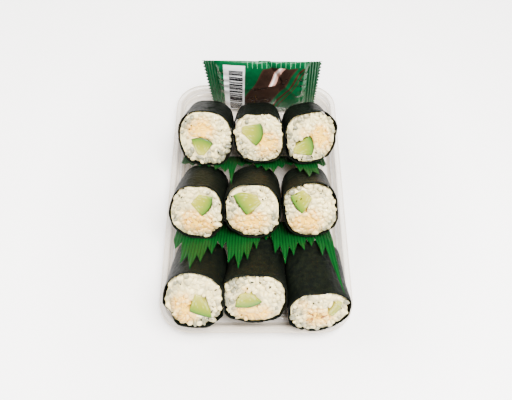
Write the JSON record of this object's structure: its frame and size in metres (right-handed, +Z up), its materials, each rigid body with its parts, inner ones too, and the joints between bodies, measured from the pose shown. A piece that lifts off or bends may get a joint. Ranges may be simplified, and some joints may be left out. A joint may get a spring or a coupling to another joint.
{
  "type": "tuna cucumber roll tray",
  "caption": "Cut sushi rolls filled with tuna mayonnaise and cucumber, leaning in rows in a clear tray with plastic grass strips and a sachet.",
  "frame": {"origin": "on the surface the tray stands on, under the middle of the whole", "axes": "+Z up, +Y towards the sachet at the back, and the rolls' cut faces look towards -Y and up"},
  "size_m": [0.109, 0.1833, 0.0607],
  "materials": {
    "tray": "clear, thin and glossy",
    "nori": "near-black green seaweed sheet, half gloss",
    "rice": "moist warm white grains",
    "tuna": "creamy flakes in mayonnaise",
    "cucumber": "moist flesh with a dark green skin",
    "grass": "thin green film, finely ribbed",
    "sachet": "glossy printed film"
  },
  "bodies": {
    "root": {"nori_back_left": "nori", "rice_back_left": "rice", "tuna_back_left": "tuna", "cucumber_back_left": "cucumber", "nori_back_middle": "nori", "rice_back_middle": "rice", "tuna_back_middle": "tuna", "cucumber_back_middle": "cucumber", "nori_back_right": "nori", "rice_back_right": "rice", "tuna_back_right": "tuna", "cucumber_back_right": "cucumber", "nori_centre_left": "nori", "rice_centre_left": "rice", "tuna_centre_left": "tuna", "cucumber_centre_left": "cucumber", "nori_centre_middle": "nori", "rice_centre_middle": "rice", "tuna_centre_middle": "tuna", "cucumber_centre_middle": "cucumber", "nori_centre_right": "nori", "rice_centre_right": "rice", "tuna_centre_right": "tuna", "cucumber_centre_right": "cucumber", "nori_front_left": "nori", "rice_front_left": "rice", "tuna_front_left": "tuna", "cucumber_front_left": "cucumber", "nori_front_middle": "nori", "rice_front_middle": "rice", "tuna_front_middle": "tuna", "cucumber_front_middle": "cucumber", "nori_front_right": "nori", "rice_front_right": "rice", "tuna_front_right": "tuna", "cucumber_front_right": "cucumber", "grass_back": "grass", "grass_front": "grass", "sachet": "sachet", "tray": "tray"}
  },
  "joints": []
}
